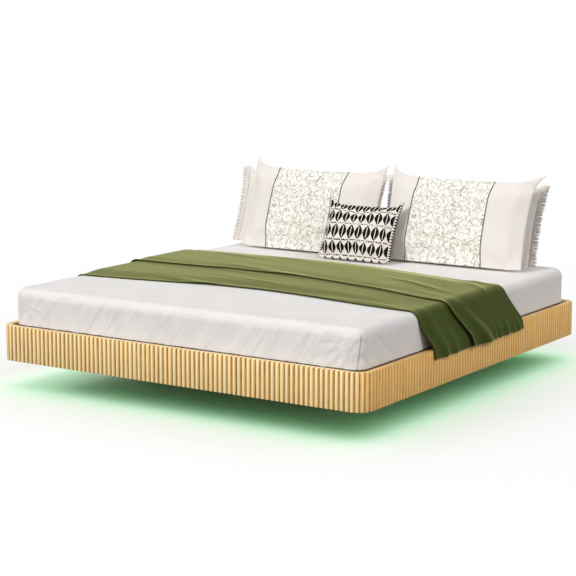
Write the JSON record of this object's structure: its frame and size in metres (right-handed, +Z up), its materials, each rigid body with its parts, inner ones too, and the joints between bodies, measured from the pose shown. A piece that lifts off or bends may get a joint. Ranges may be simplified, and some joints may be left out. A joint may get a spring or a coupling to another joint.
{
  "type": "floating bed",
  "caption": "King-size platform bed that seems to float: reeded timber rails on a hidden recessed plinth, with under-frame light strips, mattress, throw, shams and cushion.",
  "frame": {"origin": "on the floor, under the middle of the frame", "axes": "+X to the right seen from the foot, +Y towards the head, +Z up"},
  "size_m": [2.0751, 2.13, 0.9477],
  "materials": {
    "oak": "satin",
    "pine": "matte",
    "plinth_paint": "matte",
    "zinc": "satin",
    "light_silicone": "satin",
    "black_plastic": "satin",
    "grey_plastic": "satin",
    "circuit_board": "satin",
    "ticking": "matte",
    "cotton": "matte",
    "velvet": "matte",
    "sham_linen": "matte",
    "accent_weave": "matte"
  },
  "bodies": {
    "bed": {"rail_front": "oak", "rail_rear": "oak", "rail_left": "oak", "rail_right": "oak", "corner_front_left": "oak", "corner_front_right": "oak", "corner_rear_left": "oak", "corner_rear_right": "oak", "ledger_front": "pine", "ledger_rear": "pine", "ledger_left": "pine", "ledger_right": "pine", "bearer_left": "pine", "bearer_right": "pine", "cross_joist_front": "pine", "cross_joist_middle": "pine", "cross_joist_rear": "pine", "slat_01": "pine", "slat_02": "pine", "slat_03": "pine", "slat_04": "pine", "slat_05": "pine", "slat_06": "pine", "slat_07": "pine", "slat_08": "pine", "slat_09": "pine", "slat_10": "pine", "slat_11": "pine", "plinth_front": "plinth_paint", "plinth_rear": "plinth_paint", "plinth_left": "plinth_paint", "plinth_right": "plinth_paint", "plinth_block_front_left": "pine", "plinth_block_front_right": "pine", "plinth_block_rear_left": "pine", "plinth_block_rear_right": "pine", "light_strip_front": "light_silicone", "light_strip_rear": "light_silicone", "light_strip_left": "light_silicone", "light_strip_right": "light_silicone", "controller_base": "black_plastic", "controller_board": "circuit_board", "controller_cover": "black_plastic", "power_inlet": "grey_plastic", "mattress": "ticking", "fitted_sheet": "cotton", "throw": "velvet", "front_sham_left": "sham_linen", "front_sham_right": "sham_linen", "rear_sham_left": "sham_linen", "rear_sham_right": "sham_linen", "accent_cushion": "accent_weave"},
    "levelling_foot_front_left": {"levelling_foot_front_left": "zinc"},
    "levelling_foot_front_right": {"levelling_foot_front_right": "zinc"},
    "levelling_foot_rear_left": {"levelling_foot_rear_left": "zinc"},
    "levelling_foot_rear_right": {"levelling_foot_rear_right": "zinc"},
    "controller_button_1": {"controller_button_1": "grey_plastic"},
    "controller_button_2": {"controller_button_2": "grey_plastic"},
    "controller_button_3": {"controller_button_3": "grey_plastic"}
  },
  "joints": [
    {"name": "foot_front_left_extend", "type": "slide", "parent": "bed", "child": "levelling_foot_front_left", "axis": [0, 0, -1], "range_m": [0, 0.012]},
    {"name": "foot_front_right_extend", "type": "slide", "parent": "bed", "child": "levelling_foot_front_right", "axis": [0, 0, -1], "range_m": [0, 0.012]},
    {"name": "foot_rear_left_extend", "type": "slide", "parent": "bed", "child": "levelling_foot_rear_left", "axis": [0, 0, -1], "range_m": [0, 0.012]},
    {"name": "foot_rear_right_extend", "type": "slide", "parent": "bed", "child": "levelling_foot_rear_right", "axis": [0, 0, -1], "range_m": [0, 0.012]},
    {"name": "button_1_press", "type": "slide", "parent": "bed", "child": "controller_button_1", "axis": [1, 0, 0], "range_m": [0, 0.001], "stiffness_N_per_m": 1500, "springref_m": -0.0005},
    {"name": "button_2_press", "type": "slide", "parent": "bed", "child": "controller_button_2", "axis": [1, 0, 0], "range_m": [0, 0.001], "stiffness_N_per_m": 1500, "springref_m": -0.0005},
    {"name": "button_3_press", "type": "slide", "parent": "bed", "child": "controller_button_3", "axis": [1, 0, 0], "range_m": [0, 0.001], "stiffness_N_per_m": 1500, "springref_m": -0.0005}
  ]
}
